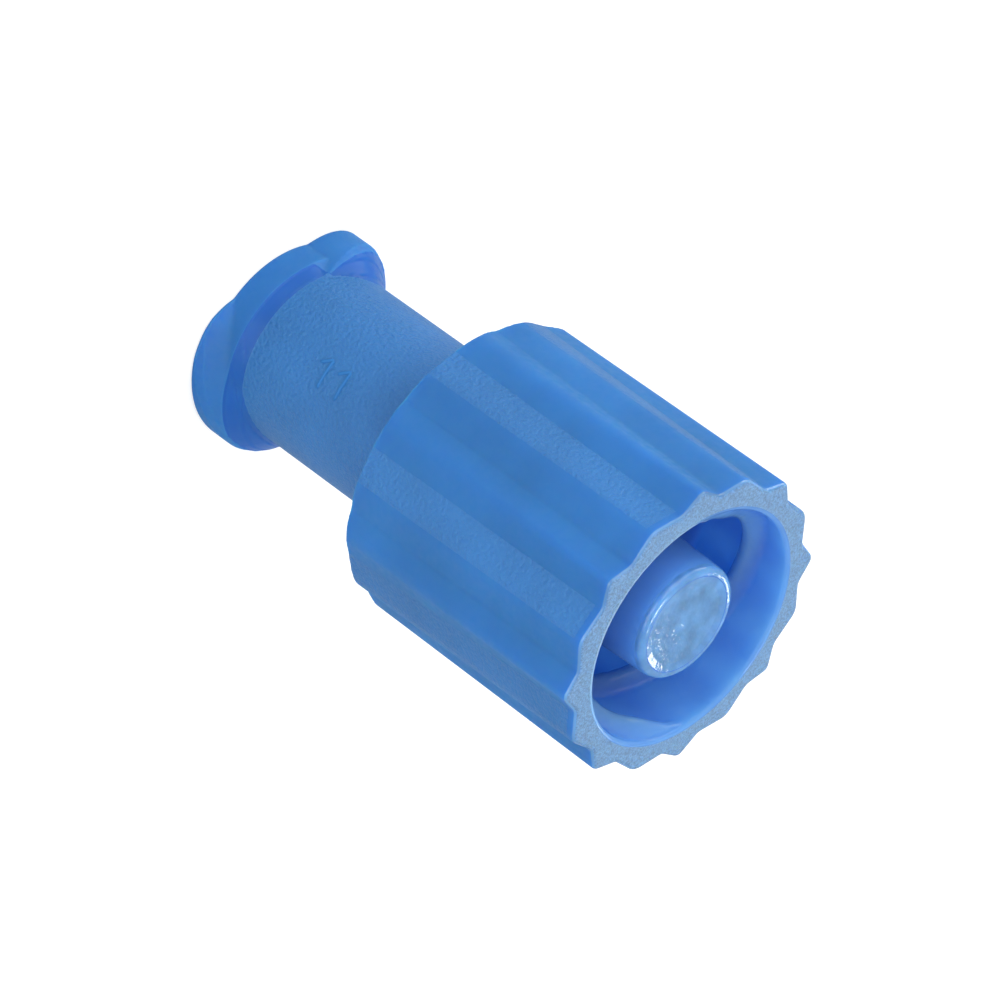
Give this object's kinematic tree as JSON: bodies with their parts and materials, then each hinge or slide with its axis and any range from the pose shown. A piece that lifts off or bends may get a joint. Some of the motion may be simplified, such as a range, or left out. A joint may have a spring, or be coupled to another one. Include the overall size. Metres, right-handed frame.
{
  "type": "luer lock combi stopper",
  "caption": "Moulded closing cone with a ribbed threaded collar round a closed male cone, and a blind lugged socket at its other end.",
  "frame": {"origin": "centre of the socket's rim, the small end that the part stands on", "axes": "+Z along the part's axis, from the socket's rim up to the mouth of the ribbed collar; +X through the crest of a tall grip rib"},
  "size_m": [0.0104, 0.0104, 0.0188],
  "materials": {
    "blue_plastic": "satin, fine moulded grain on the hub and on half of the grip flanks"
  },
  "bodies": {
    "root": {"stopper": "blue_plastic"}
  },
  "joints": []
}
